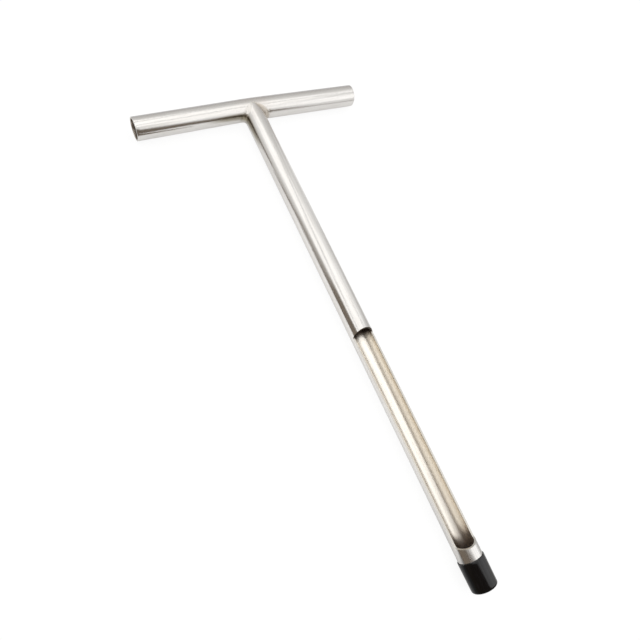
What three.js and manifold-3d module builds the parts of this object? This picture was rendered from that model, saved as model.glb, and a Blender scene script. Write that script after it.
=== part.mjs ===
// Soil sampling probe, lying on its side with the sampling window upwards. A cross handle is
// welded to one length of tube, which is cut open to a trough and ends in a cutting tip under
// a vinyl cap. Millimetres, +Z up: the handle runs along X and the tip points to -Y. The origin
// is below the middle of the part, on the surface that it lies on.
import * as THREE from 'three';
import { ParametricGeometry } from 'three/addons/geometries/ParametricGeometry.js';
import { mergeVertices } from 'three/addons/utils/BufferGeometryUtils.js';
import Module from 'manifold-3d';

const wasm = await Module();
wasm.setup();

// Tube stock that handle and probe are both cut from
const TUBE_DIAMETER = 22.2;
const TUBE_WALL = 1.6;

// Cross handle, drawn down on both sides by the heat of the weld
const HANDLE_LENGTH = 244;
const HANDLE_DROOP = THREE.MathUtils.degToRad(1);
const HANDLE_BEND_LENGTH = 30;

// Probe tube, from the handle's axis down
const SHANK_LENGTH = 263.6;
const WINDOW_LENGTH = 204.1;
const TIP_LENGTH = 33.1;

// Sampling window: the height of its rims over the tube's axis, the lean of its two ends
// away from square, and the stretch of rim and end that each rounded corner takes
const WINDOW_RIM_HEIGHT = 2.8;
const WINDOW_END_LEAN = THREE.MathUtils.degToRad(24.5);
const WINDOW_CORNER_ROUND = 2;

// Cutting tip: an outer taper down to a thin edge, and a mouth that is narrower than the
// bore, so that the core slides freely once it is inside
const TIP_TAPER_LENGTH = 14;
const TIP_EDGE_WALL = 0.3;
const TIP_CHOKE = 0.6;
const TIP_CHOKE_LENGTH = 8;

// Weld bead round the saddle: how far its round section is sunk below the tubes' surfaces, its
// crown over them in the side corners and on the front and back, and the turn at its two peaks
const WELD_SINK = 2;
const WELD_SIDE_CROWN = 2;
const WELD_FACE_CROWN = 0.6;
const WELD_PEAK_TURN = 3;

// Tip cap, dip-moulded
const CAP_LENGTH = 25.2;
const CAP_WALL = 0.75;
const CAP_FLOOR = 1.4;
const CAP_DRAFT = 0.3;
const CAP_CORNER_RADIUS = 2;
const CAP_LIP_ROUND = 0.3;

// Clearances: between faces that touch, round the tube in the cap, and past what is cut away
const TOUCH_GAP = 0.3;
const CAP_CLEARANCE = 0.15;
const CUT_OVERRUN = 5;

// Facet counts
const ROUND_FACETS = 64;
const HANDLE_STEPS = 12;
const CORNER_FACETS = 4;
const WELD_STATIONS = 72;
const WELD_SECTION_FACETS = 16;

// Sizes that follow
const TUBE_RADIUS = TUBE_DIAMETER / 2;
const BORE_RADIUS = TUBE_RADIUS - TUBE_WALL;
const REACH = SHANK_LENGTH + WINDOW_LENGTH + TIP_LENGTH;
const MOUTH_RADIUS = BORE_RADIUS - TIP_CHOKE;
const CAP_BORE_RADIUS = TUBE_RADIUS + CAP_CLEARANCE;
const CAP_RIM_RADIUS = CAP_BORE_RADIUS + CAP_WALL;
const CAP_END_RADIUS = CAP_RIM_RADIUS - CAP_DRAFT;

// A closed solid of a geometry: shared corners are merged, and triangles that shrink to a
// line at an axis or a seam are left out
function solidOf(geometry) {
  geometry.deleteAttribute('normal');
  geometry.deleteAttribute('uv');
  const merged = mergeVertices(geometry);
  const corners = merged.index.array;
  const kept = [];
  for (let i = 0; i < corners.length; i += 3) {
    const [a, b, c] = corners.subarray(i, i + 3);
    if (a !== b && b !== c && c !== a) kept.push(a, b, c);
  }
  return new wasm.Manifold(new wasm.Mesh({
    numProp: 3,
    vertProperties: new Float32Array(merged.attributes.position.array),
    triVerts: new Uint32Array(kept),
  }));
}

function meshOf(name, solid, material) {
  const { vertProperties, triVerts } = solid.getMesh();
  const geometry = new THREE.BufferGeometry();
  geometry.setAttribute('position', new THREE.BufferAttribute(vertProperties, 3));
  geometry.setIndex(new THREE.BufferAttribute(triVerts, 1));
  geometry.computeVertexNormals();
  const mesh = new THREE.Mesh(geometry, material);
  mesh.name = name;
  return mesh;
}

// The handle's axis: two straight arms that meet in a slight bend, whose crest is at zero
function handlePath() {
  const halfBend = HANDLE_BEND_LENGTH / 2;
  const slope = Math.tan(HANDLE_DROOP);
  const armEnd = (HANDLE_LENGTH / 2) * Math.cos(HANDLE_DROOP);
  const onArm = (x) => new THREE.Vector3(x, (halfBend * slope) / 2 - Math.abs(x) * slope, 0);
  const path = new THREE.CurvePath();
  path.add(new THREE.LineCurve3(onArm(-armEnd), onArm(-halfBend)));
  path.add(new THREE.QuadraticBezierCurve3(onArm(-halfBend), onArm(0), onArm(halfBend)));
  path.add(new THREE.LineCurve3(onArm(halfBend), onArm(armEnd)));
  return path;
}

// A round bar along the handle's axis, or a tube where it has a bore
function alongHandle(radius, boreRadius) {
  const section = new THREE.Shape().absarc(0, 0, radius, 0, 2 * Math.PI);
  if (boreRadius) section.holes.push(new THREE.Path().absarc(0, 0, boreRadius, 0, 2 * Math.PI));
  return solidOf(new THREE.ExtrudeGeometry(section, {
    steps: HANDLE_STEPS,
    curveSegments: ROUND_FACETS / 2,
    extrudePath: handlePath(),
  }));
}

// The probe's blank, turned about Y: up the outside from the cutting edge, then down the bore
function probeBlank() {
  const profile = [
    [MOUTH_RADIUS, -REACH],
    [MOUTH_RADIUS + TIP_EDGE_WALL, -REACH],
    [TUBE_RADIUS, TIP_TAPER_LENGTH - REACH],
    [TUBE_RADIUS, 0],
    [BORE_RADIUS, 0],
    [BORE_RADIUS, TIP_CHOKE_LENGTH - REACH],
    [MOUTH_RADIUS, -REACH],
  ];
  const points = profile.map(([radius, y]) => new THREE.Vector2(radius, y));
  return solidOf(new THREE.LatheGeometry(points, ROUND_FACETS));
}

// What the milling cutter takes out of the tube: the side view of the window, with rounded
// corners where the slanted ends meet the rims, carried across the tube
function windowCutter() {
  const top = TUBE_RADIUS + CUT_OVERRUN;
  const run = Math.tan(WINDOW_END_LEAN);
  const rimInset = (TUBE_RADIUS - WINDOW_RIM_HEIGHT) * run;
  const topOutset = CUT_OVERRUN * run;
  const upper = -SHANK_LENGTH;
  const lower = upper - WINDOW_LENGTH;
  const upperCorner = new THREE.Vector2(upper - rimInset, WINDOW_RIM_HEIGHT);
  const lowerCorner = new THREE.Vector2(lower + rimInset, WINDOW_RIM_HEIGHT);
  const upEnd = WINDOW_CORNER_ROUND * Math.cos(WINDOW_END_LEAN);
  const outEnd = WINDOW_CORNER_ROUND * Math.sin(WINDOW_END_LEAN);
  const side = new THREE.Shape();
  side.moveTo(lower - topOutset, top);
  side.lineTo(lowerCorner.x - outEnd, lowerCorner.y + upEnd);
  side.quadraticCurveTo(lowerCorner.x, lowerCorner.y, lowerCorner.x + WINDOW_CORNER_ROUND, lowerCorner.y);
  side.lineTo(upperCorner.x - WINDOW_CORNER_ROUND, upperCorner.y);
  side.quadraticCurveTo(upperCorner.x, upperCorner.y, upperCorner.x + outEnd, upperCorner.y + upEnd);
  side.lineTo(upper + topOutset, top);
  const width = 2 * top;
  const cutter = new THREE.ExtrudeGeometry(side, {
    depth: width,
    curveSegments: CORNER_FACETS,
    bevelEnabled: false,
  });
  cutter.translate(0, 0, -width / 2);
  const alongY = new THREE.Vector3(0, 1, 0);
  const alongZ = new THREE.Vector3(0, 0, 1);
  const alongX = new THREE.Vector3(1, 0, 0);
  cutter.applyMatrix4(new THREE.Matrix4().makeBasis(alongY, alongZ, alongX));
  return solidOf(cutter);
}

// A point of the saddle, where the probe's outside meets the handle's, at an angle round the
// probe. The two peaks, where the curve would turn sharply, are rounded.
function saddlePoint(angle) {
  const x = TUBE_RADIUS * Math.cos(angle);
  const z = TUBE_RADIUS * Math.sin(angle);
  return new THREE.Vector3(x, -Math.hypot(x, WELD_PEAK_TURN), z);
}

// The bead's round section, carried round the saddle. It is fullest in the two side corners
// and low on the front and back, where the tubes' surfaces run into each other.
function weldSweep() {
  const nudge = 0.001;
  return solidOf(new ParametricGeometry((u, v, target) => {
    const angle = 2 * Math.PI * (u % 1);
    const turn = 2 * Math.PI * (v % 1);
    const point = saddlePoint(angle);
    const tangent = saddlePoint(angle + nudge).sub(saddlePoint(angle - nudge)).normalize();
    const probeNormal = new THREE.Vector3(point.x, 0, point.z).normalize();
    const handleNormal = new THREE.Vector3(0, point.y, point.z).normalize();
    const outward = probeNormal.add(handleNormal);
    outward.addScaledVector(tangent, -outward.dot(tangent)).normalize();
    const sideward = new THREE.Vector3().crossVectors(outward, tangent);
    const sideShare = Math.cos(angle) ** 2;
    const crown = WELD_FACE_CROWN + (WELD_SIDE_CROWN - WELD_FACE_CROWN) * sideShare;
    const radius = WELD_SINK + crown;
    target.copy(point);
    target.addScaledVector(outward, radius * Math.cos(turn) - WELD_SINK);
    target.addScaledVector(sideward, radius * Math.sin(turn));
  }, WELD_STATIONS, WELD_SECTION_FACETS));
}

// A round bar on the probe's axis that clears the weld bead's sweep at both ends
function probeBar(radius) {
  const bar = new THREE.CylinderGeometry(radius, radius, REACH, ROUND_FACETS);
  return solidOf(bar);
}

// The cap's wall, turned about Y with its inner floor at zero: along the closed end, up the
// outside, over the lip, and down the inside, which draws in beside the probe's taper
function capSolid() {
  const rim = CAP_LENGTH - CAP_FLOOR;
  const profile = new THREE.Path();
  const flatRadius = CAP_END_RADIUS - CAP_CORNER_RADIUS;
  profile.moveTo(0, -CAP_FLOOR);
  profile.lineTo(flatRadius, -CAP_FLOOR);
  profile.absarc(flatRadius, CAP_CORNER_RADIUS - CAP_FLOOR, CAP_CORNER_RADIUS, -Math.PI / 2, 0);
  profile.lineTo(CAP_RIM_RADIUS, rim - CAP_LIP_ROUND);
  profile.quadraticCurveTo(CAP_RIM_RADIUS, rim, CAP_RIM_RADIUS - CAP_LIP_ROUND, rim);
  profile.lineTo(CAP_BORE_RADIUS, rim);
  profile.lineTo(CAP_BORE_RADIUS, TIP_TAPER_LENGTH + TOUCH_GAP);
  profile.lineTo(CAP_BORE_RADIUS - CAP_DRAFT, CAP_FLOOR);
  profile.quadraticCurveTo(CAP_BORE_RADIUS - CAP_DRAFT, 0, CAP_BORE_RADIUS - CAP_DRAFT - CAP_FLOOR, 0);
  profile.lineTo(0, 0);
  return solidOf(new THREE.LatheGeometry(profile.getPoints(CORNER_FACETS), ROUND_FACETS));
}

const steel = new THREE.MeshStandardMaterial({ color: 0xcfccc8, roughness: 0.28, metalness: 1 });
const weldMetal = new THREE.MeshStandardMaterial({ color: 0xb4aca4, roughness: 0.5, metalness: 1 });
const vinyl = new THREE.MeshStandardMaterial({ color: 0x0b0b0d, roughness: 0.35, metalness: 0 });

const handle = meshOf('handle_tube', alongHandle(TUBE_RADIUS, BORE_RADIUS), steel);

const handleClearance = alongHandle(TUBE_RADIUS + TOUCH_GAP);
const probe = meshOf('probe_tube', probeBlank().subtract(handleClearance).subtract(windowCutter()), steel);

const beadSolid = weldSweep().subtract(handleClearance).subtract(probeBar(TUBE_RADIUS + TOUCH_GAP));
const bead = meshOf('weld_bead', beadSolid, weldMetal);

const cap = meshOf('tip_cap', capSolid(), vinyl);
cap.position.y = -REACH - TOUCH_GAP;

// The whole tool is moved so that the origin lies below the middle of its length, with the
// cap's rim, the widest round, on the ground
const tool = new THREE.Group();
tool.name = 'soil_sampling_probe';
tool.add(handle, probe, bead, cap);
const capEnd = REACH + TOUCH_GAP + CAP_FLOOR;
tool.position.set(0, (capEnd - TUBE_RADIUS) / 2, CAP_RIM_RADIUS);

export default tool;
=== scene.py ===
"""Soil sampling probe: looks, studio and camera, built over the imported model."""

import math
from collections import namedtuple

import bmesh
import bpy
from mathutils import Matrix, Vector, noise


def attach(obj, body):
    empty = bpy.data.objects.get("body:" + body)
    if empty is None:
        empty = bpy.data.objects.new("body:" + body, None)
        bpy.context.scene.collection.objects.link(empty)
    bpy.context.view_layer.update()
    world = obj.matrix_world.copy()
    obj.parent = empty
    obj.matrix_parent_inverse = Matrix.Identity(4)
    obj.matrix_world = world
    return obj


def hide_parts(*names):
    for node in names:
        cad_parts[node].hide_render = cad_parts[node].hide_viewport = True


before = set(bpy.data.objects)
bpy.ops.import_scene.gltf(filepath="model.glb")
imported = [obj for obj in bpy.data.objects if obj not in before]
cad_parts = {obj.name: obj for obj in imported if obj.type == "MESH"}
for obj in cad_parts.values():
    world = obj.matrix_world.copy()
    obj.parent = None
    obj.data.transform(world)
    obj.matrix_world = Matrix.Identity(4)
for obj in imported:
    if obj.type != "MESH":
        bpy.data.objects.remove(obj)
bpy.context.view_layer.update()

MM = 0.001

# Where the axes of handle and probe cross, in metres; sizes below are in millimetres from there
CROSSING = Vector((0.0, 0.2457, 0.012))

# Tube stock
TUBE_RADIUS = 11.1
BORE_RADIUS = 9.5

# Cross handle
HANDLE_LENGTH = 244.0
HANDLE_SLOPE = math.tan(math.radians(1.0))
HANDLE_HALF_BEND = 15.0
HANDLE_EDGE_ROUND = 0.3
HANDLE_EDGE_STEPS = 4
HANDLE_STATIONS = 72

# Probe tube, all along -Y
SEAT_GAP = 0.3
SEAT_END = -2 * TUBE_RADIUS
SEAT_ROWS = 4
SHANK_LENGTH = 263.6
WINDOW_LENGTH = 204.1
TIP_LENGTH = 33.1
REACH = SHANK_LENGTH + WINDOW_LENGTH + TIP_LENGTH
COLUMN_STEP = 4.0

# Sampling window
WINDOW_RIM_HEIGHT = 2.8
WINDOW_END_LEAN = math.radians(24.5)
WINDOW_CORNER_ROUND = 2.0
WINDOW_EDGE_ROUND = 0.16
WINDOW_EDGE_STEPS = 3
END_COLUMNS = 26
CORNER_COLUMNS = 6

# Cutting tip
TIP_TAPER_LENGTH = 14.0
TIP_TAPER_STEPS = 6
TIP_EDGE_WALL = 0.3
TIP_CHOKE = 0.6
TIP_CHOKE_LENGTH = 8.0
TIP_CHOKE_STEPS = 4

# Weld: its hollow round at the sides and on the front, and how far it is blended out on each tube
WELD_ROUND_SIDE = 4.0
WELD_ROUND_FRONT = 6.5
WELD_BLEND_HANDLE = 3.6
WELD_BLEND_PROBE = 3.4
WELD_BLEND_FRONT = 1.6
WELD_HOLLOW_SHARE = 0.45

# Weld's skin: its lift, which sinks under the tubes at its edges, and the shares where it fades out
WELD_LIFT = 0.03
WELD_LIFT_FADE = (0.6, 1.0)
WELD_BEAD_FADE = (0.15, 0.8)
WELD_DEPTH = 0.6
WELD_ROOT_DEPTH = 1.6

# Weld's ripples, and its unevenness as pairs of waves and height
WELD_RIPPLES = 58
WELD_RIPPLE_BOW = 3.0
WELD_RIPPLE_HEIGHT = 0.02
WELD_UNEVEN = [(3.1, 0.12), (9.0, 0.05)]
WELD_UNEVEN_ACROSS = 0.4
WELD_STATIONS = 360
WELD_ROWS = 32

# Tip cap
CAP_TOP = -477.3
CAP_LENGTH = 25.2
CAP_WALL = 0.75
CAP_FLOOR = 1.4
CAP_DRAFT = 0.3
CAP_CORNER_RADIUS = 2.0
CAP_LIP_ROUND = 0.34
CAP_LIP_BREAK = 0.1
CAP_FLOOR_BREAK = 0.4
CAP_CLEARANCE = 0.15
CAP_END_STEPS = 6
CAP_CORNER_STEPS = 8
CAP_SIDE_STEPS = 10
CAP_LIP_STEPS = 5
CAP_BORE_STEPS = 4

# Cap's slow unevenness: its height, its waves round and along, and the walls that have it
CAP_UNEVEN = 0.05
CAP_WAVES_ROUND = 1.3
CAP_WAVES_ALONG = 0.07
CAP_UNEVEN_FROM = 0.2
CAP_UNEVEN_OVER = 0.4

# Meshes: angles are where an edge is shown sharp, in degrees
ROUND_FACETS = 224
MERGE_DISTANCE = 1e-7
TUBE_SHARP_ANGLE = 32.0
WELD_SHARP_ANGLE = 60.0
CAP_SHARP_ANGLE = 50.0

# Camera, found from the edges of both tubes in the photograph
CAMERA_PLACE = (-0.1991, -0.0852, 0.3995)
CAMERA_TURN = (20.967, -16.042, -25.712)
CAMERA_LENS = 26.364
CAMERA_SENSOR = 36.0
CAMERA_CLIP_START = 0.01


def place(x, y, z):
    """A point in metres from millimetres counted from the crossing of the two axes."""
    return CROSSING + Vector((x, y, z)) * MM


def handle_drop(x):
    """How far the handle's axis lies above (+) or below (-) its crest at a distance from the middle."""
    if abs(x) <= HANDLE_HALF_BEND:
        return -HANDLE_SLOPE * x * x / (2 * HANDLE_HALF_BEND)
    return HANDLE_SLOPE * (HANDLE_HALF_BEND / 2 - abs(x))


def handle_lean(x):
    """Slope of the handle's axis at a distance from the middle."""
    return -HANDLE_SLOPE * max(-1.0, min(1.0, x / HANDLE_HALF_BEND))


def new_piece(name, bm, materials, sharp_angle):
    """An object of a bmesh, with its normals outward and its edges sharp where it really turns."""
    bmesh.ops.remove_doubles(bm, verts=bm.verts, dist=MERGE_DISTANCE)
    bmesh.ops.recalc_face_normals(bm, faces=bm.faces)
    mesh = bpy.data.meshes.new(name)
    bm.to_mesh(mesh)
    bm.free()
    for material in materials:
        mesh.materials.append(material)
    for polygon in mesh.polygons:
        polygon.use_smooth = True
    mesh.set_sharp_from_angle(angle=math.radians(sharp_angle))
    piece = bpy.data.objects.new(name, mesh)
    bpy.context.scene.collection.objects.link(piece)
    return piece


def add_ring(bm, points):
    return [bm.verts.new(point) for point in points]


def bridge(bm, ring_a, ring_b, closed, material=0):
    """Quads between two rows of vertices with the same count."""
    count = len(ring_a)
    for i in range(count if closed else count - 1):
        j = (i + 1) % count
        face = bm.faces.new((ring_a[i], ring_a[j], ring_b[j], ring_b[i]))
        face.material_index = material


def quarter_turns(steps):
    """Angles of a quarter round, both ends included."""
    return [math.pi / 2 * i / steps for i in range(steps + 1)]


def full_turns(steps):
    """Angles of a full round, without the last one, which is the first."""
    return [2 * math.pi * i / steps for i in range(steps)]


# Node materials


class Nodes:
    """Short calls for one material's node tree."""

    def __init__(self, name):
        self.material = bpy.data.materials.new(name)
        self.material.use_nodes = True
        self.tree = self.material.node_tree
        self.shader = self.tree.nodes["Principled BSDF"]

    def new(self, kind, settings=None, inputs=None):
        node = self.tree.nodes.new(kind)
        for key, value in (settings or {}).items():
            setattr(node, key, value)
        for key, value in (inputs or {}).items():
            self.feed(node.inputs[key], value)
        return node

    def feed(self, socket, value):
        if isinstance(value, bpy.types.NodeSocket):
            self.tree.links.new(value, socket)
        else:
            socket.default_value = value

    def place(self):
        return self.new("ShaderNodeTexCoord").outputs["Object"]

    def parts(self, vector):
        return self.new("ShaderNodeSeparateXYZ", inputs={"Vector": vector}).outputs

    def attribute(self, name):
        return self.new("ShaderNodeAttribute", {"attribute_name": name}).outputs["Fac"]

    def stretched(self, vector, scale, offset=(0.0, 0.0, 0.0)):
        inputs = {"Vector": vector, "Scale": scale, "Location": offset}
        return self.new("ShaderNodeMapping", inputs=inputs).outputs["Vector"]

    def grain(self, vector, grain, axis="Y"):
        """Noise of a grain, drawn out along an axis where the grain says so."""
        if grain.stretch != 1.0:
            vector = self.stretched(vector, along(axis, grain.stretch))
        inputs = {"Vector": vector, "Scale": grain.scale}
        inputs.update({"Detail": grain.detail, "Roughness": grain.roughness})
        return self.new("ShaderNodeTexNoise", inputs=inputs).outputs["Fac"]

    def span(self, value, low, high, to_low=0.0, to_high=1.0, smooth=False):
        settings = {"interpolation_type": "SMOOTHSTEP" if smooth else "LINEAR", "clamp": True}
        inputs = {"Value": value, "From Min": low, "From Max": high, "To Min": to_low, "To Max": to_high}
        return self.new("ShaderNodeMapRange", settings, inputs).outputs["Result"]

    def calc(self, operation, first, second):
        node = self.new("ShaderNodeMath", {"operation": operation}, {0: first, 1: second})
        return node.outputs["Value"]

    def mix(self, factor, first, second):
        node = self.new("ShaderNodeMix", {"data_type": "RGBA"}, {0: factor, 6: first, 7: second})
        return node.outputs[2]

    def bump(self, height, strength, distance, normal=None):
        inputs = {"Height": height, "Strength": strength, "Distance": distance}
        if normal:
            inputs["Normal"] = normal
        return self.new("ShaderNodeBump", inputs=inputs).outputs["Normal"]

    def distance_to(self, vector, point):
        node = self.new("ShaderNodeVectorMath", {"operation": "DISTANCE"}, {0: vector, 1: point})
        return node.outputs["Value"]

    def finish(self, color, roughness, normal, metallic=1.0):
        self.feed(self.shader.inputs["Base Color"], color)
        self.feed(self.shader.inputs["Roughness"], roughness)
        self.feed(self.shader.inputs["Normal"], normal)
        self.shader.inputs["Metallic"].default_value = metallic
        return self.material


def rgb(red, green, blue):
    return (red, green, blue, 1.0)


def along(axis, long_share):
    """Scales that draw a pattern out along one axis."""
    return tuple(long_share if i == "XYZ".index(axis) else 1.0 for i in range(3))


# How far a grain is drawn out along an axis (1 is not at all), and its noise's scale, detail and roughness
Grain = namedtuple("Grain", "stretch scale detail roughness")

# Most of a noise lies in NOISE; the other two ranges cut it harder
NOISE = (0.3, 0.7)
NOISE_PATCHES = (0.4, 0.7)
NOISE_CLOUD = (0.35, 0.65)

# Both ends of the window along Y, in metres
WINDOW_UPPER = CROSSING.y - SHANK_LENGTH * MM
WINDOW_LOWER = WINDOW_UPPER - WINDOW_LENGTH * MM

# Painted shade in the inner left corner between the tubes, brown like a heat stain: its middle on each tube
# in millimetres, its fade in metres (on a scale that is the tail share as long along the tube), and a paler
# painted shade in the inner right corner
CORNER_SHADE_PLACE = {"X": (-20.0, -10.4, 3.8), "Y": (-10.4, -20.0, 3.8)}
CORNER_SHADE_FADE = (0.0048, 0.0012)
CORNER_SHADE_TAIL_SHARE = 0.12
CORNER_SHADE_RIGHT_PLACE = (15.8, -10.1, 4.8)
CORNER_SHADE_RIGHT_FADE = (0.0036, 0.001)
CORNER_SHADE_RIGHT_SHARE = 0.6
CORNER_SHADE_TONE = rgb(0.29, 0.26, 0.195)


def painted_corner_shade(n, spot, axis):
    """1 in the inner left corner, where brown shade is painted on the steel, and less in the right one."""
    tail = along(axis, CORNER_SHADE_TAIL_SHARE)
    middle = CROSSING + Vector(CORNER_SHADE_PLACE[axis]) * MM
    offset = tuple(-middle[i] * tail[i] for i in range(3))
    away = n.distance_to(n.stretched(spot, tail, offset), (0.0, 0.0, 0.0))
    away_right = n.distance_to(spot, CROSSING + Vector(CORNER_SHADE_RIGHT_PLACE) * MM)
    left = n.span(away, *CORNER_SHADE_FADE, smooth=True)
    right = n.span(away_right, *CORNER_SHADE_RIGHT_FADE, 0.0, CORNER_SHADE_RIGHT_SHARE, smooth=True)
    return n.calc("MAXIMUM", left, right)


POLISH_TONES = (rgb(0.65, 0.63, 0.605), rgb(0.71, 0.695, 0.675))
POLISH_LINES = Grain(0.02, 2600.0, 4.0, 0.6)
POLISH_GRAIN = Grain(0.05, 700.0, 3.0, 0.5)
POLISH_SMUDGE = Grain(1.0, 38.0, 4.0, 0.6)
POLISH_WAVES = Grain(0.25, 60.0, 2.0, 0.5)
POLISH_ROUGHNESS = (0.155, 0.215)
POLISH_SMUDGE_RANGE = (0.45, 0.75)
POLISH_SMUDGE_ROUGHNESS = 0.05
POLISH_WAVES_BUMP = (0.35, 0.0004)
POLISH_LINES_BUMP = (0.12, 0.00003)

# Faint heat round the weld: its fade from the crossing in metres, and how far the smudges break it up
HEAT_FADE = (0.030, 0.012)
HEAT_BROKEN = 0.35
HEAT_SHARE = 0.25
HEAT_TONE = rgb(0.56, 0.47, 0.42)
HEAT_ROUGHNESS = 0.06
# How far the smudges break up the painted corner shade
CORNER_SHADE_BROKEN_RANGE = (0.3, 0.6)
CORNER_SHADE_BROKEN = 0.75


def polished_steel(name, axis):
    """Bright drawn and polished tube: fine lines along it, faint smudges, the heat of the weld, and painted
    shade in the corners by the weld.
    """
    n = Nodes(name)
    spot = n.place()
    lines = n.grain(spot, POLISH_LINES, axis)
    smudge = n.grain(spot, POLISH_SMUDGE)
    heat = n.span(n.distance_to(spot, CROSSING), *HEAT_FADE, smooth=True)
    heat = n.calc("MULTIPLY", heat, n.span(smudge, *NOISE_CLOUD, HEAT_BROKEN, 1.0))
    clean = n.mix(n.span(n.grain(spot, POLISH_GRAIN, axis), *NOISE), *POLISH_TONES)
    color = n.mix(n.calc("MULTIPLY", heat, HEAT_SHARE), clean, HEAT_TONE)
    broken = n.span(smudge, *CORNER_SHADE_BROKEN_RANGE, CORNER_SHADE_BROKEN, 1.0)
    # Painted shade in the corners between the tubes, broken up by the smudges
    corner_shade = n.calc("MULTIPLY", painted_corner_shade(n, spot, axis), broken)
    color = n.mix(corner_shade, color, CORNER_SHADE_TONE)
    smudged = n.span(smudge, *POLISH_SMUDGE_RANGE, 0.0, POLISH_SMUDGE_ROUGHNESS)
    roughness = n.calc("ADD", n.span(lines, *NOISE, *POLISH_ROUGHNESS), smudged)
    roughness = n.calc("ADD", roughness, n.calc("MULTIPLY", heat, HEAT_ROUGHNESS))
    normal = n.bump(n.grain(spot, POLISH_WAVES, axis), *POLISH_WAVES_BUMP)
    normal = n.bump(lines, *POLISH_LINES_BUMP, normal)
    return n.finish(color, roughness, normal)


BORE_POLISHED_TONES = (rgb(0.815, 0.768, 0.695), rgb(0.86, 0.818, 0.75))
# Lighter painted shade at the window's lower end, and painted shade where the tube is closed
BORE_LOWER_END_SHADE_TONES = (rgb(0.64, 0.55, 0.47), rgb(0.74, 0.65, 0.57))
BORE_SHADE_TONES = (rgb(0.16, 0.122, 0.095), rgb(0.26, 0.20, 0.16))
BORE_LINES = Grain(0.015, 1500.0, 2.0, 0.5)
BORE_PATCHES = Grain(0.2, 90.0, 2.0, 0.5)
BORE_ROUGHNESS = (0.25, 0.275)
BORE_PATCH_ROUGHNESS = 0.05
BORE_BUMP = (0.1, 0.0001)
# Share of painted shade inside the handle's bore
HANDLE_BORE_SHADE_SHARE = 0.6

# Where the tone turns along Y, in metres: painted shade above the window, a lighter painted shade at its
# lower end, and painted shade below it
BORE_UPPER_FADE = (WINDOW_UPPER - 0.005, WINDOW_UPPER)
BORE_LOWER_END_SHADE_FADE = (WINDOW_LOWER + 0.016, WINDOW_LOWER - 0.002)
BORE_LOWER_FADE = (WINDOW_LOWER - 0.004, WINDOW_LOWER - 0.014)


def bore_steel(name, axis):
    """Inside of a tube: bright and warm where soil has polished it, with painted shade where the tube is
    closed.
    """
    n = Nodes(name)
    spot = n.place()
    patches = n.grain(spot, BORE_PATCHES, axis)
    cloud = n.span(patches, *NOISE_CLOUD)
    polished = n.mix(cloud, *BORE_POLISHED_TONES)
    # Painted shade where the tube is closed
    bore_shade = n.mix(cloud, *BORE_SHADE_TONES)
    if axis == "Y":
        y = n.parts(spot)["Y"]
        color = n.mix(n.span(y, *BORE_UPPER_FADE, smooth=True), polished, bore_shade)
        color = n.mix(n.span(y, *BORE_LOWER_END_SHADE_FADE, smooth=True), color, n.mix(cloud, *BORE_LOWER_END_SHADE_TONES))
        color = n.mix(n.span(y, *BORE_LOWER_FADE, smooth=True), color, bore_shade)
    else:
        color = n.mix(HANDLE_BORE_SHADE_SHARE, polished, bore_shade)
    lined = n.span(n.grain(spot, BORE_LINES, axis), *NOISE, *BORE_ROUGHNESS)
    roughness = n.calc("ADD", lined, n.span(patches, *NOISE_PATCHES, 0.0, BORE_PATCH_ROUGHNESS))
    return n.finish(color, roughness, n.bump(patches, *BORE_BUMP))


CUT_BRIGHT_TONES = (rgb(0.52, 0.495, 0.455), rgb(0.60, 0.58, 0.54))
# Painted dark reflection of the closed bore, on the cut faces at the window's upper end
CUT_DARK_REFLECTION_TONES = (rgb(0.07, 0.055, 0.042), rgb(0.13, 0.105, 0.085))
CUT_DARK_REFLECTION_FADE = (WINDOW_UPPER - 0.0058, WINDOW_UPPER - 0.0040)
CUT_MARKS = Grain(6.0, 900.0, 3.0, 0.6)
CUT_PATCHES = Grain(1.0, 240.0, 3.0, 0.5)
CUT_ROUGHNESS = (0.26, 0.36)
CUT_PATCH_ROUGHNESS = 0.05
CUT_BUMP = (0.25, 0.00004)


def cut_steel(name, axis, dark_reflection_share):
    """Sawn and milled faces: fine tool marks, and a share of painted dark reflection on the window's upper
    end.
    """
    n = Nodes(name)
    spot = n.place()
    marks = n.grain(spot, CUT_MARKS, axis)
    tone = n.span(marks, *NOISE)
    # Painted dark reflection near the window's upper end
    dark_reflected = n.span(n.parts(spot)["Y"], *CUT_DARK_REFLECTION_FADE, 0.0, dark_reflection_share, smooth=True)
    color = n.mix(dark_reflected, n.mix(tone, *CUT_BRIGHT_TONES), n.mix(tone, *CUT_DARK_REFLECTION_TONES))
    patched = n.span(n.grain(spot, CUT_PATCHES), *NOISE_PATCHES, 0.0, CUT_PATCH_ROUGHNESS)
    roughness = n.calc("ADD", n.span(marks, *NOISE, *CUT_ROUGHNESS), patched)
    return n.finish(color, roughness, n.bump(marks, *CUT_BUMP))


WELD_TINTS = (rgb(0.40, 0.345, 0.28), rgb(0.57, 0.52, 0.455))
WELD_TINT_RANGE = (0.4, 0.65)
WELD_CLOUD = Grain(1.0, 210.0, 4.0, 0.6)
WELD_FINE = Grain(1.0, 1600.0, 3.0, 0.6)
WELD_ROUGHNESS = (0.185, 0.42)
WELD_FINE_ROUGHNESS = (-0.02, 0.03)
WELD_FINE_BUMP = (0.15, 0.00003)
WELD_CLOUD_BUMP = (0.25, 0.00015)

# How the tint fades from the seam's middle outwards, in broken patches, and less on the left side
SEAM_FADE = (0.12, 0.62)
SEAM_BROKEN_RANGE = (0.3, 0.6)
SEAM_BROKEN = 0.5
SEAM_SIDE_FADE = (-0.15, 0.4)
SEAM_LEFT_SHARE = 0.25
# Painted shade in the weld's inner left corner: its middle in millimetres and its fade in metres
WELD_CORNER_SHADE_PLACE = (-14.0, -14.0, 4.0)
WELD_CORNER_SHADE_FADE = (0.0075, 0.003)


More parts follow.
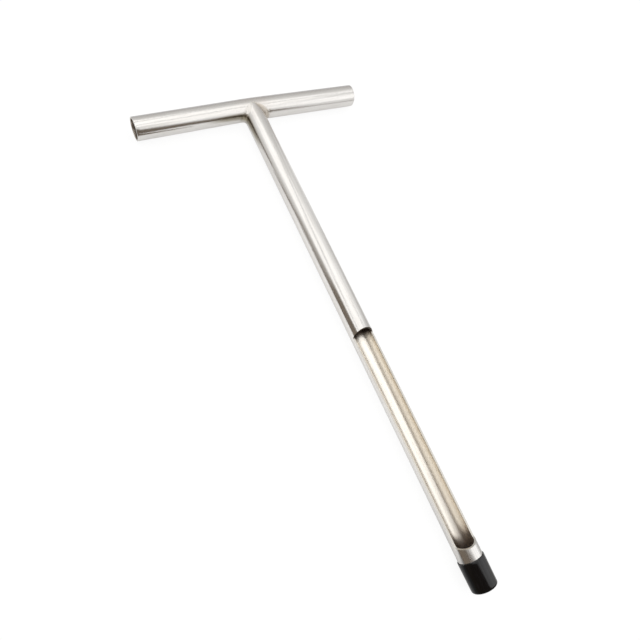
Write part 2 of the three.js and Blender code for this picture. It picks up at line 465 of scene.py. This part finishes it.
def weld_steel(name):
    """Blended weld: polished where it runs out, satin with a faint straw tint along the seam, and painted
    shade in the inner left corner.
    """
    n = Nodes(name)
    spot = n.place()
    cloud = n.grain(spot, WELD_CLOUD)
    fine = n.grain(spot, WELD_FINE)
    bare = n.mix(n.span(fine, *NOISE), *POLISH_TONES)
    tint = n.mix(n.span(cloud, *WELD_TINT_RANGE), *WELD_TINTS)
    seam = n.span(n.attribute("weld_share"), *SEAM_FADE, smooth=True)
    seam = n.calc("MULTIPLY", seam, n.span(cloud, *SEAM_BROKEN_RANGE, SEAM_BROKEN, 1.0))
    side = n.span(n.attribute("weld_branch"), *SEAM_SIDE_FADE, SEAM_LEFT_SHARE, 1.0, smooth=True)
    seam = n.calc("MULTIPLY", seam, side)
    # Painted shade in the inner left corner
    corner = n.distance_to(spot, CROSSING + Vector(WELD_CORNER_SHADE_PLACE) * MM)
    corner_shade = n.span(corner, *WELD_CORNER_SHADE_FADE, smooth=True)
    color = n.mix(corner_shade, n.mix(seam, bare, tint), CORNER_SHADE_TONE)
    fine_part = n.span(fine, *NOISE, *WELD_FINE_ROUGHNESS)
    roughness = n.calc("ADD", n.span(seam, 0.0, 1.0, *WELD_ROUGHNESS), fine_part)
    normal = n.bump(fine, *WELD_FINE_BUMP)
    normal = n.bump(cloud, *WELD_CLOUD_BUMP, normal)
    return n.finish(color, roughness, normal)


VINYL_TONES = (rgb(0.0005, 0.0004, 0.0008), rgb(0.0035, 0.003, 0.0045))
VINYL_DUST_RANGE = (0.5, 0.8)
VINYL_RUBBED_RANGE = (0.4, 0.75)
VINYL_RUNS = Grain(0.35, 130.0, 2.0, 0.5)
VINYL_RUBS = Grain(0.3, 420.0, 5.0, 0.65)
VINYL_SKIN = Grain(1.0, 2400.0, 3.0, 0.6)
VINYL_ROUGHNESS = (0.09, 0.18)
VINYL_SKIN_ROUGHNESS = 0.03
VINYL_RUNS_BUMP = (0.3, 0.0004)
VINYL_SKIN_BUMP = (0.08, 0.00003)
VINYL_IOR = 1.47


def dipped_vinyl(name):
    """Dip-moulded black vinyl: smooth skin with slow runs, faint dust and handling marks."""
    n = Nodes(name)
    spot = n.place()
    skin = n.grain(spot, VINYL_SKIN)
    rubs = n.grain(spot, VINYL_RUBS)
    color = n.mix(n.span(rubs, *VINYL_DUST_RANGE), *VINYL_TONES)
    rubbed = n.span(rubs, *VINYL_RUBBED_RANGE, *VINYL_ROUGHNESS)
    roughness = n.calc("ADD", rubbed, n.span(skin, *NOISE, 0.0, VINYL_SKIN_ROUGHNESS))
    normal = n.bump(n.grain(spot, VINYL_RUNS), *VINYL_RUNS_BUMP)
    normal = n.bump(skin, *VINYL_SKIN_BUMP, normal)
    n.shader.inputs["IOR"].default_value = VINYL_IOR
    return n.finish(color, roughness, normal, metallic=0.0)


# Pieces

SKIN, BORE, CUT = range(3)


def handle_edge(radius, outward):
    """Insets and radii of a rounded tube edge, from the tube's wall to its sawn end."""
    edge = []
    for turn in quarter_turns(HANDLE_EDGE_STEPS):
        inset = HANDLE_EDGE_ROUND * (1 - math.sin(turn))
        drop = HANDLE_EDGE_ROUND * (1 - math.cos(turn))
        edge.append((inset, radius - outward * drop))
    return edge


def make_handle(materials):
    """The cross handle: a round tube along a slightly bent axis, with deburred sawn ends."""
    arm = HANDLE_LENGTH / 2 * math.cos(math.atan(HANDLE_SLOPE))
    outer_edge = handle_edge(TUBE_RADIUS, 1)
    inner_edge = handle_edge(BORE_RADIUS, -1)
    straight = arm - HANDLE_EDGE_ROUND
    run = [straight * (2 * i / HANDLE_STATIONS - 1) for i in range(1, HANDLE_STATIONS)]
    stations = [(-arm + inset, radius, SKIN) for inset, radius in reversed(outer_edge)]
    stations += [(x, TUBE_RADIUS, SKIN) for x in run]
    stations += [(arm - inset, radius, SKIN) for inset, radius in outer_edge[:-1]]
    stations += [(arm - outer_edge[-1][0], outer_edge[-1][1], CUT)]
    stations += [(arm - inset, radius, BORE) for inset, radius in reversed(inner_edge)]
    stations += [(x, BORE_RADIUS, BORE) for x in reversed(run)]
    stations += [(-arm + inset, radius, BORE) for inset, radius in inner_edge[:-1]]
    stations += [(-arm + inner_edge[-1][0], inner_edge[-1][1], CUT)]
    bm = bmesh.new()
    rings = []
    for x, radius, _ in stations:
        lean = handle_lean(x)
        size = math.hypot(1.0, lean)
        ring = []
        for turn in full_turns(ROUND_FACETS):
            side, up = radius * math.cos(turn), radius * math.sin(turn)
            ring.append(place(x - side * lean / size, handle_drop(x) + side / size, up))
        rings.append(add_ring(bm, ring))
    for i, (_, _, material) in enumerate(stations):
        bridge(bm, rings[i], rings[(i + 1) % len(rings)], True, material)
    return new_piece("handle_tube_fine", bm, materials, TUBE_SHARP_ANGLE)


def window_end(radius):
    """Columns of one window end on a wall of a radius: distance from the end at the crest, and height."""
    run = math.tan(WINDOW_END_LEAN)
    corner = (TUBE_RADIUS - WINDOW_RIM_HEIGHT) * run
    upper = (corner - WINDOW_CORNER_ROUND * math.sin(WINDOW_END_LEAN),
             WINDOW_RIM_HEIGHT + WINDOW_CORNER_ROUND * math.cos(WINDOW_END_LEAN))
    lower = (corner + WINDOW_CORNER_ROUND, WINDOW_RIM_HEIGHT)
    low_turn = math.acos(upper[1] / radius)
    columns = []
    for i in range(END_COLUMNS):
        height = radius * math.cos(low_turn * i / END_COLUMNS)
        columns.append(((TUBE_RADIUS - height) * run, height))
    for i in range(CORNER_COLUMNS + 1):
        t = i / CORNER_COLUMNS
        parts = ((1 - t) ** 2, 2 * t * (1 - t), t * t)
        columns.append((parts[0] * upper[0] + parts[1] * corner + parts[2] * lower[0],
                        parts[0] * upper[1] + parts[1] * WINDOW_RIM_HEIGHT + parts[2] * lower[1]))
    return columns


def even(start, end, step):
    """Places from start to end, both left out, about a step apart."""
    count = max(2, round(abs(end - start) / step))
    return [start + (end - start) * i / count for i in range(1, count)]


def window_columns(radius):
    """Columns down the window on a wall of a radius: Y, and the height that the window is cut down to."""
    upper, lower = -SHANK_LENGTH, -SHANK_LENGTH - WINDOW_LENGTH
    end = window_end(radius)
    columns = [(upper - reach, height) for reach, height in end]
    columns += [(y, WINDOW_RIM_HEIGHT) for y in even(upper - end[-1][0], lower + end[-1][0], COLUMN_STEP)]
    columns += [(lower + reach, height) for reach, height in reversed(end)]
    return columns


def wall_row(y_of, radius, height=None):
    """One row of points round a wall, open at the top down to a height where the window is."""
    widest = math.pi if height is None or height >= radius else math.acos(-height / radius)
    points = []
    for i in range(ROUND_FACETS + 1):
        turn = widest * (2 * i / ROUND_FACETS - 1)
        x, z = radius * math.sin(turn), -radius * math.cos(turn)
        points.append(place(x, y_of(z), z))
    return points


def seat_line(z):
    """Y of the coped top of the probe, which sits round the handle."""
    return -math.sqrt((TUBE_RADIUS + SEAT_GAP) ** 2 - min(z * z, TUBE_RADIUS ** 2))


def shank_rows(bm, radius, last):
    """Rows from the coped top, which turns level at SEAT_END, down to the window."""
    rows = []
    for i in range(SEAT_ROWS):
        share = i / SEAT_ROWS
        rows.append(wall_row(lambda z: seat_line(z) + (SEAT_END - seat_line(z)) * share, radius))
    rows += [wall_row(lambda z: y, radius) for y in [SEAT_END, *even(SEAT_END, last, COLUMN_STEP)]]
    return [add_ring(bm, row) for row in rows]


def tip_rows(bm, radius, first, length, growth, steps):
    """Rows from the window down to the cutting edge, where the radius has changed by its growth."""
    end = length - REACH
    sizes = [(y, radius) for y in [*even(first, end, COLUMN_STEP), end]]
    sizes += [(-REACH + length * (1 - i / steps), radius + growth * i / steps) for i in range(1, steps + 1)]
    return [add_ring(bm, wall_row(lambda z: y, size)) for y, size in sizes]


def make_probe(materials):
    """The probe tube: coped top, window milled down to a trough, closed ring and cutting tip."""
    edge_radius = BORE_RADIUS - TIP_CHOKE + TIP_EDGE_WALL
    walls = [
        (SKIN, TUBE_RADIUS, TIP_TAPER_LENGTH, edge_radius - TUBE_RADIUS, TIP_TAPER_STEPS),
        (BORE, BORE_RADIUS, TIP_CHOKE_LENGTH, -TIP_CHOKE, TIP_CHOKE_STEPS),
    ]
    bm = bmesh.new()
    wall_rows = {}
    window_rows = {}
    for material, radius, length, growth, steps in walls:
        columns = window_columns(radius)
        rows = shank_rows(bm, radius, columns[0][0])
        window_rows[material] = [add_ring(bm, wall_row(lambda z: y, radius, height)) for y, height in columns]
        rows += window_rows[material]
        rows += tip_rows(bm, radius, columns[-1][0], length, growth, steps)
        for upper, lower in zip(rows, rows[1:]):
            bridge(bm, upper, lower, False, material)
        wall_rows[material] = rows
    bridge(bm, wall_rows[SKIN][0], wall_rows[BORE][0], False, CUT)
    bridge(bm, wall_rows[SKIN][-1], wall_rows[BORE][-1], False, CUT)
    weight = bm.edges.layers.float.new("bevel_weight_edge")
    for side in (0, -1):
        outer = [row[side] for row in window_rows[SKIN]]
        inner = [row[side] for row in window_rows[BORE]]
        bridge(bm, outer, inner, False, CUT)
        for line in (outer, inner):
            for one, other in zip(line, line[1:]):
                bm.edges.get((one, other))[weight] = 1.0
    piece = new_piece("probe_tube_fine", bm, materials, TUBE_SHARP_ANGLE)
    return deburr(piece, WINDOW_EDGE_ROUND, WINDOW_EDGE_STEPS)


def deburr(piece, size, steps):
    """Rounds the marked edges and keeps the result as the piece's own mesh."""
    bevel = piece.modifiers.new("deburr", "BEVEL")
    bevel.limit_method = "WEIGHT"
    bevel.width = size * MM
    bevel.segments = steps
    graph = bpy.context.evaluated_depsgraph_get()
    rounded = bpy.data.meshes.new_from_object(piece.evaluated_get(graph))
    piece.modifiers.clear()
    piece.data = rounded
    return piece


def share_between(value, start, end):
    """0 before start, 1 after end, and an even run between them."""
    return min(1.0, max(0.0, (value - start) / (end - start)))


def blend_share(value, start, end):
    """0 before start, 1 after end, and a smooth run between them."""
    share = share_between(value, start, end)
    return share * share * (3 - 2 * share)


def weld_skin(turn, across):
    """A point of the weld's skin and its outward direction, before ripples and lift.

    turn runs round the seam from the front, across from -1 on the probe to 1 on the handle. The
    middle of it is the round that a ball would leave while it rolls along both tubes.
    """
    side, front = math.sin(turn), math.cos(turn)
    size = WELD_ROUND_SIDE + (WELD_ROUND_FRONT - WELD_ROUND_SIDE) * front * front
    reach = TUBE_RADIUS + size
    if across <= -WELD_HOLLOW_SHARE:
        out = (-across - WELD_HOLLOW_SHARE) / (1 - WELD_HOLLOW_SHARE)
        y = -reach * abs(side) - (WELD_BLEND_PROBE + WELD_BLEND_FRONT * front * front) * out
        return Vector((TUBE_RADIUS * side, y, TUBE_RADIUS * front)), Vector((side, 0.0, front))
    if across >= WELD_HOLLOW_SHARE:
        out = (across - WELD_HOLLOW_SHARE) / (1 - WELD_HOLLOW_SHARE)
        x = (reach + WELD_BLEND_HANDLE * out) * side
        roll = abs(turn) - WELD_BLEND_HANDLE / TUBE_RADIUS * out * front
        facing = Vector((0.0, -math.sin(roll), math.cos(roll)))
        return Vector((x, handle_drop(x), 0.0)) + facing * TUBE_RADIUS, facing
    share = 0.5 + 0.5 * across / WELD_HOLLOW_SHARE
    middle = Vector((reach * side, -reach * abs(side), reach * front))
    facing = (Vector((side, 0.0, front)).lerp(Vector((0.0, -abs(side), front)), share)).normalized()
    point = middle - facing * size
    point.y += handle_drop(point.x) * share
    return point, facing


def weld_height(turn, across):
    """How far the weld stands over that skin: its lift, its faint ripples and its unevenness."""
    away = abs(across)
    lift = WELD_LIFT * (1.0 - 2.0 * blend_share(away, *WELD_LIFT_FADE))
    bead = 1.0 - blend_share(away, *WELD_BEAD_FADE)
    ripple = WELD_RIPPLE_HEIGHT * math.cos(WELD_RIPPLES * turn + WELD_RIPPLE_BOW * across * across)
    seam = Vector((math.cos(turn), math.sin(turn), across * WELD_UNEVEN_ACROSS))
    uneven = sum(noise.noise(seam * waves) * height for waves, height in WELD_UNEVEN)
    return lift + bead * (ripple + uneven)


def make_weld(material):
    """The weld round the saddle: ground to a hollow round that runs out flush on both tubes."""
    bm = bmesh.new()
    share = bm.verts.layers.float.new("weld_share")
    branch = bm.verts.layers.float.new("weld_branch")
    steps = [2 * j / WELD_ROWS - 1 for j in range(WELD_ROWS + 1)]
    root = [(1.0, -WELD_DEPTH), (0.0, -WELD_ROOT_DEPTH), (-1.0, -WELD_DEPTH)]
    rings = []
    for i in range(WELD_STATIONS):
        turn = 2 * math.pi * (i + 0.5) / WELD_STATIONS - math.pi
        ring = []
        for across, height in [(across, weld_height(turn, across)) for across in steps] + root:
            point, facing = weld_skin(turn, across)
            vertex = bm.verts.new(place(*(point + facing * height)))
            vertex[share] = 1.0 - abs(across)
            vertex[branch] = math.sin(turn)
            ring.append(vertex)
        rings.append(ring)
    for i in range(WELD_STATIONS):
        bridge(bm, rings[i], rings[(i + 1) % WELD_STATIONS], True)
    return new_piece("weld_fillet", bm, [material], WELD_SHARP_ANGLE)


def cap_profile():
    """The cap's wall from the middle of its closed end round to the middle of its inner floor."""
    bore = TUBE_RADIUS + CAP_CLEARANCE
    floor_bore = bore - CAP_DRAFT
    rim = bore + CAP_WALL
    end = rim - CAP_DRAFT
    flat = end - CAP_CORNER_RADIUS
    bottom = CAP_TOP - CAP_LENGTH
    inner = bottom + CAP_FLOOR
    side = CAP_LENGTH - CAP_CORNER_RADIUS - CAP_LIP_ROUND
    bore_run = inner + TIP_TAPER_LENGTH - CAP_TOP
    points = [(flat * i / CAP_END_STEPS, bottom) for i in range(CAP_END_STEPS + 1)]
    points += [(flat + CAP_CORNER_RADIUS * math.sin(turn), bottom + CAP_CORNER_RADIUS * (1 - math.cos(turn)))
               for turn in quarter_turns(CAP_CORNER_STEPS)[1:]]
    points += [(end + CAP_DRAFT * i / CAP_SIDE_STEPS, bottom + CAP_CORNER_RADIUS + side * i / CAP_SIDE_STEPS)
               for i in range(1, CAP_SIDE_STEPS + 1)]
    points += [(rim - CAP_LIP_ROUND * (1 - math.cos(turn)), CAP_TOP - CAP_LIP_ROUND * (1 - math.sin(turn)))
               for turn in quarter_turns(CAP_LIP_STEPS)[1:]]
    points += [(bore + CAP_LIP_BREAK, CAP_TOP), (bore, CAP_TOP - CAP_LIP_BREAK)]
    points += [(bore, CAP_TOP + bore_run * i / CAP_BORE_STEPS) for i in range(1, CAP_BORE_STEPS + 1)]
    points += [(floor_bore, inner + CAP_FLOOR), (floor_bore - CAP_FLOOR_BREAK, inner + CAP_FLOOR_BREAK)]
    points += [(floor_bore - CAP_FLOOR, inner), (0.0, inner)]
    return points


def make_cap(material):
    """The vinyl cap, turned about the probe's axis, with the slow unevenness of a dipped skin."""
    bm = bmesh.new()
    rings = []
    uneven_from = TUBE_RADIUS + CAP_CLEARANCE + CAP_UNEVEN_FROM
    for radius, y in cap_profile():
        outside = share_between(radius, uneven_from, uneven_from + CAP_UNEVEN_OVER)
        ring = []
        for turn in full_turns(ROUND_FACETS):
            across, up = math.cos(turn) * CAP_WAVES_ROUND, math.sin(turn) * CAP_WAVES_ROUND
            wave = noise.noise(Vector((across, up, y * CAP_WAVES_ALONG)))
            size = radius - CAP_UNEVEN * outside * (0.5 + wave)
            ring.append(bm.verts.new(place(size * math.cos(turn), y, size * math.sin(turn))))
        rings.append(ring)
    for upper, lower in zip(rings, rings[1:]):
        bridge(bm, upper, lower, True)
    return new_piece("vinyl_cap", bm, [material], CAP_SHARP_ANGLE)


# Studio

CAMERA_RAYS = ("Is Camera Ray",)
SEEN_RAYS = ("Is Camera Ray", "Is Glossy Ray", "Is Transmission Ray")
WORLD_LIGHT = 0.6


def ray_share(tree, kinds):
    """1 for the named kinds of ray, 0 for the rest."""
    path = tree.nodes.new("ShaderNodeLightPath")
    total = path.outputs[kinds[0]]
    for kind in kinds[1:]:
        pick = tree.nodes.new("ShaderNodeMath")
        pick.operation = "MAXIMUM"
        tree.links.new(total, pick.inputs[0])
        tree.links.new(path.outputs[kind], pick.inputs[1])
        total = pick.outputs["Value"]
    return total


def make_world():
    """White to the rays that see the background, and a plain level of light to the rest."""
    world = bpy.data.worlds.new("studio")
    world.use_nodes = True
    tree = world.node_tree
    background = tree.nodes["Background"]
    background.inputs["Color"].default_value = rgb(1.0, 1.0, 1.0)
    level = tree.nodes.new("ShaderNodeMapRange")
    tree.links.new(ray_share(tree, SEEN_RAYS), level.inputs["Value"])
    level.inputs["To Min"].default_value = WORLD_LIGHT
    level.inputs["To Max"].default_value = 1.0
    tree.links.new(level.outputs["Result"], background.inputs["Strength"])
    bpy.context.scene.world = world


def flat_sheet(name, outlines):
    """A stage piece of flat faces, one for each outline."""
    corners, faces = [], []
    for outline in outlines:
        faces.append(tuple(range(len(corners), len(corners) + len(outline))))
        corners += outline
    mesh = bpy.data.meshes.new(name)
    mesh.from_pydata(corners, [], faces)
    sheet = bpy.data.objects.new(name, mesh)
    bpy.context.scene.collection.objects.link(sheet)
    return sheet


def lying(west, east, south, north, height=0.0):
    """Outline of a flat rectangle at a height."""
    return [(west, south, height), (east, south, height), (east, north, height), (west, north, height)]


def matt(n, color):
    """Makes a material's shader a plain matt one."""
    n.feed(n.shader.inputs["Base Color"], color)
    n.shader.inputs["Roughness"].default_value = 1.0
    n.shader.inputs["Specular IOR Level"].default_value = 0.0


FLOOR_REACH = 6.0
FLOOR_DEPTH = -0.0002

# The floor's base colour for lamps and matt colours, and its base colour and glow for the camera
FLOOR_WHITE = 0.8
FLOOR_SHADE_SEEN = 0.14
FLOOR_GLOW_SEEN = 0.89

# The same for metal and gloss, as painted light and shade on the floor that only they see: the glow left
# and right of the shaft, round the handle, and what is added at the tip and behind the handle
FLOOR_SHADE_METAL = 0.62
FLOOR_GLOW_LEFT = 0.56
FLOOR_GLOW_RIGHT = 0.20
FLOOR_GLOW_HANDLE = 0.40
FLOOR_GLOW_TIP = -0.14
FLOOR_GLOW_BEHIND = -0.36

# Where those change, along Y or X in metres
FLOOR_FRONT_FADE = (0.20, 0.10)
FLOOR_SIDES_FADE = (0.03, -0.03)
FLOOR_TIP_FADE = (-0.14, -0.22)
FLOOR_BEHIND_FADE = (0.262, 0.30)

# Painted shade on the floor: a dark pool beside the tip, which its ring and its cap mirror, and the shares
# that are left there
POOL_X_FADE = (0.0, -0.045)
POOL_Y_FADE = (-0.228, -0.250)
POOL_SHADE_SHARE = 0.35
POOL_GLOW_SHARE = 0.05


def floor_material():
    """A white floor that still takes a soft shadow, and that metal and gloss see darker in places, as painted
    shade.
    """
    n = Nodes("white_floor")
    camera = ray_share(n.tree, CAMERA_RAYS)
    seen = ray_share(n.tree, SEEN_RAYS)
    parts = n.parts(n.place())
    x, y = parts["X"], parts["Y"]
    pool = n.calc("MULTIPLY", n.span(x, *POOL_X_FADE, smooth=True), n.span(y, *POOL_Y_FADE, smooth=True))

    shade = n.span(pool, 0.0, 1.0, FLOOR_SHADE_METAL, FLOOR_SHADE_METAL * POOL_SHADE_SHARE)
    shade = n.calc("ADD", n.calc("MULTIPLY", shade, n.span(camera, 0.0, 1.0, 1.0, 0.0)),
                   n.span(camera, 0.0, 1.0, 0.0, FLOOR_SHADE_SEEN))
    shade = n.calc("ADD", n.calc("MULTIPLY", seen, shade), n.span(seen, 0.0, 1.0, FLOOR_WHITE, 0.0))
    channels = {"Red": shade, "Green": shade, "Blue": shade}
    matt(n, n.new("ShaderNodeCombineColor", inputs=channels).outputs["Color"])

    front = n.span(y, *FLOOR_FRONT_FADE, smooth=True)
    sides = n.span(x, *FLOOR_SIDES_FADE,
                   FLOOR_GLOW_RIGHT - FLOOR_GLOW_HANDLE, FLOOR_GLOW_LEFT - FLOOR_GLOW_HANDLE)
    glow = n.calc("ADD", n.calc("MULTIPLY", front, sides), FLOOR_GLOW_HANDLE)
    glow = n.calc("ADD", glow, n.span(y, *FLOOR_TIP_FADE, 0.0, FLOOR_GLOW_TIP, smooth=True))
    glow = n.calc("ADD", glow, n.span(y, *FLOOR_BEHIND_FADE, 0.0, FLOOR_GLOW_BEHIND, smooth=True))
    glow = n.calc("MULTIPLY", glow, n.span(pool, 0.0, 1.0, 1.0, POOL_GLOW_SHARE))
    glow = n.calc("MULTIPLY", seen, n.span(camera, 0.0, 1.0, glow, FLOOR_GLOW_SEEN))
    n.shader.inputs["Emission Color"].default_value = rgb(1.0, 1.0, 1.0)
    n.feed(n.shader.inputs["Emission Strength"], glow)
    return n.material


def make_floor():
    outline = lying(-FLOOR_REACH, FLOOR_REACH, -FLOOR_REACH, FLOOR_REACH, FLOOR_DEPTH)
    flat_sheet("floor", [outline]).data.materials.append(floor_material())


# Tones of the darker sides of the studio
DARK, DIM = rgb(0.18, 0.145, 0.112), rgb(0.155, 0.13, 0.108)
LEFT_LOW, LEFT_HIGH = rgb(0.235, 0.195, 0.155), rgb(0.20, 0.168, 0.137)
WING_GREY, WING_PALE = rgb(0.34, 0.31, 0.28), rgb(0.58, 0.56, 0.53)
GREY, PALE, WHITE = rgb(0.60, 0.58, 0.56), rgb(0.72, 0.70, 0.67), rgb(1.0, 1.0, 0.99)
RIGHT_LOW, RIGHT_HIGH = rgb(0.79, 0.785, 0.78), rgb(1.42, 1.42, 1.42)
RIGHT_FRONT_LOW, RIGHT_FRONT_HIGH = rgb(0.66, 0.655, 0.65), rgb(0.80, 0.80, 0.80)
BACK_GREY = rgb(0.56, 0.545, 0.535)

# Upright cards: both ends on the floor, tops as pairs of share of the way and height, low and high tone
CARDS = {
    "front_screen": ((-0.5, -0.44), (0.36, -0.44),
                     [(0.0, 0.66), (0.3, 0.72), (0.52, 0.66), (0.63, 0.52), (0.73, 0.36), (0.83, 0.25),
                      (1.0, 0.12)], DARK, DIM),
    "left_screen": ((-0.5, 0.19), (-0.5, -0.44), [(0.0, 0.43), (0.3, 0.44), (0.6, 0.56), (1.0, 0.72)],
                    LEFT_LOW, LEFT_HIGH),
    "left_wing": ((-0.56, 0.40), (-0.5, 0.19), [(0.0, 0.34), (1.0, 0.42)], WING_GREY, PALE),
    "back_wing": ((-0.6, 0.95), (-0.56, 0.40), [(0.0, 0.46), (1.0, 0.36)], WING_PALE, WHITE),
    "right_wall": ((0.95, 0.154), (0.46, 0.514), [(0.0, 1.2), (1.0, 1.2)], RIGHT_LOW, RIGHT_HIGH),
    "right_front_wall": ((1.99, -0.61), (0.95, 0.154), [(0.0, 2.4), (1.0, 2.4)],
                         RIGHT_FRONT_LOW, RIGHT_FRONT_HIGH),
    "back_wall": ((0.46, 0.514), (-1.55, 1.99), [(0.0, 0.78), (1.0, 0.78)], BACK_GREY, WHITE),
    # Painted shade: a low dark card in front of the handle's left arm, which stands in for the floor's shade
    # there
    "handle_shade_strip": ((-0.24, 0.199), (-0.055, 0.195), [(0.0, 0.018), (0.55, 0.018), (1.0, 0.003)], DARK, DARK),
}

# Cards on the floor: west, east, south and north side, and tone
FLOOR_CARDS = {
    "dark_floor": ((-1.6, -0.10, -1.4, 0.15), DARK),
    "grey_floor": ((0.09, 0.9, -1.4, 0.14), GREY),
}


# Least height of a card's fade; all cards below it have one tone
CARD_FADE_LEAST = 0.1


def card_material(name, top, low_tone, high_tone):
    """A tone that changes evenly from the floor to a height."""
    n = Nodes(name)
    matt(n, rgb(0.0, 0.0, 0.0))
    height = n.parts(n.place())["Z"]
    n.feed(n.shader.inputs["Emission Color"], n.mix(n.span(height, 0.0, top), low_tone, high_tone))
    n.shader.inputs["Emission Strength"].default_value = 1.0
    return n.material


def make_card(name, outlines, low_tone, high_tone):
    """A card beside the object, which only metal and gloss see."""
    card = flat_sheet(name, outlines)
    top = max(CARD_FADE_LEAST, *(corner[2] for corner in outlines[0]))
    card.data.materials.append(card_material(name, top, low_tone, high_tone))
    card.visible_camera = False
    card.visible_diffuse = False
    card.visible_shadow = False


def standing(start, end, tops):
    """Outline of an upright card between two places on the floor, with its top at shares of the way."""
    start, end = Vector((*start, 0.0)), Vector((*end, 0.0))
    upper = [tuple(start.lerp(end, share) + Vector((0.0, 0.0, top))) for share, top in tops]
    return upper + [tuple(end), tuple(start)]


def make_cards():
    """The darker sides of the studio, which give the polished tubes their bands."""
    for name, (start, end, tops, low_tone, high_tone) in CARDS.items():
        make_card(name, [standing(start, end, tops)], low_tone, high_tone)
    for name, (sides, tone) in FLOOR_CARDS.items():
        make_card(name, [lying(*sides)], tone, tone)


ROOF_HEIGHT = 1.5
ROOF_GLOW = (1.44, 1.54)
ROOF_TONE = rgb(1.0, 0.995, 0.985)
ROOF_FOLDS = Grain(0.45, 2.3, 2.0, 0.5)
ROOF_PANELS = [
    [(-1.55, -2.0), (0.55, -2.0), (0.80, -0.50), (0.93, -0.05), (0.95, 0.265), (-1.55, -0.985)],
    [(-1.55, -0.865), (1.0, 0.41), (2.3, 0.37), (2.3, 1.2), (0.85, 1.2), (-1.55, -0.15)],
    [(-1.55, 0.01), (0.55, 1.186), (0.55, 1.32), (0.1, 1.45), (-0.3, 1.6), (-1.55, 1.6)],
]
SEAM_TONE = rgb(0.33, 0.32, 0.34)
SEAMS = [
    [(-1.55, -0.955), (-1.55, -0.895), (1.0, 0.38), (1.0, 0.32)],
    [(-1.55, -0.11), (0.65, 1.128), (0.65, 1.20), (-1.55, -0.03)],
]

# Dimmer corners of the roof: what is added to the glow, and where it fades in along X and Y
ROOF_DIM_CORNERS = [
    (-0.22, (0.3, 0.8), (0.35, 0.65)),
    (-0.6, (0.45, 0.25), (-0.52, -0.60)),
]


def make_roof():
    """Three cloth panels over the table, with a dark seam in both gaps between them."""
    roof = flat_sheet("tent_roof", [[(x, y, ROOF_HEIGHT) for x, y in panel] for panel in ROOF_PANELS])
    n = Nodes("tent_cloth")
    spot = n.place()
    parts = n.parts(spot)
    glow = n.span(n.grain(spot, ROOF_FOLDS), *NOISE_CLOUD, *ROOF_GLOW)
    for change, x_fade, y_fade in ROOF_DIM_CORNERS:
        corner = n.calc("MULTIPLY", n.span(parts["X"], *x_fade), n.span(parts["Y"], *y_fade))
        glow = n.calc("ADD", glow, n.calc("MULTIPLY", corner, change))
    n.shader.inputs["Base Color"].default_value = rgb(0.0, 0.0, 0.0)
    n.shader.inputs["Specular IOR Level"].default_value = 0.0
    n.shader.inputs["Emission Color"].default_value = ROOF_TONE
    n.feed(n.shader.inputs["Emission Strength"], glow)
    roof.data.materials.append(n.material)
    roof.visible_camera = False
    make_card("tent_seams", [[(x, y, ROOF_HEIGHT) for x, y in seam] for seam in SEAMS], SEAM_TONE, SEAM_TONE)


# Soft box: angle from -Y towards +X and angle above the floor in degrees, distance and size in metres
LAMP_RADIANCE = 0.42
LAMP_TURN = math.radians(62.0)
LAMP_RISE = math.radians(36.0)
LAMP_DISTANCE = 1.6
LAMP_WIDTH = 1.6
LAMP_HEIGHT = 0.9


def make_lamp():
    """A soft box at the side, which faces the probe's middle."""
    light = bpy.data.lights.new("side_box", "AREA")
    light.shape = "RECTANGLE"
    light.size, light.size_y = LAMP_WIDTH, LAMP_HEIGHT
    light.energy = LAMP_RADIANCE * math.pi * LAMP_WIDTH * LAMP_HEIGHT
    lamp = bpy.data.objects.new("side_box", light)
    heading = Vector((math.sin(LAMP_TURN), -math.cos(LAMP_TURN), 0.0))
    out = heading * math.cos(LAMP_RISE) + Vector((0.0, 0.0, math.sin(LAMP_RISE)))
    lamp.location = out * LAMP_DISTANCE
    lamp.rotation_euler = out.to_track_quat("Z", "Y").to_euler()
    lamp.visible_camera = False
    bpy.context.scene.collection.objects.link(lamp)


def make_camera():
    data = bpy.data.cameras.new("camera")
    data.lens = CAMERA_LENS
    data.sensor_width = CAMERA_SENSOR
    data.clip_start = CAMERA_CLIP_START
    camera = bpy.data.objects.new("camera", data)
    camera.location = CAMERA_PLACE
    camera.rotation_euler = [math.radians(turn) for turn in CAMERA_TURN]
    bpy.context.scene.collection.objects.link(camera)
    bpy.context.scene.camera = camera


def dress(piece, body, node):
    """Puts a piece on its body, in the place of a node."""
    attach(piece, body)
    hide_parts(node)


make_camera()
make_world()
make_floor()
make_cards()
make_roof()
make_lamp()
bpy.context.scene.view_settings.view_transform = "Standard"

handle_metals = [
    polished_steel("handle_polish", "X"),
    bore_steel("handle_bore", "X"),
    cut_steel("handle_cut", "Z", dark_reflection_share=0.0),
]
probe_metals = [
    polished_steel("probe_polish", "Y"),
    bore_steel("trough", "Y"),
    cut_steel("probe_cut", "Y", dark_reflection_share=1.0),
]
dress(make_handle(handle_metals), "probe", "handle_tube")
dress(make_probe(probe_metals), "probe", "probe_tube")
dress(make_weld(weld_steel("weld_tint")), "probe", "weld_bead")
dress(make_cap(dipped_vinyl("vinyl")), "cap", "tip_cap")
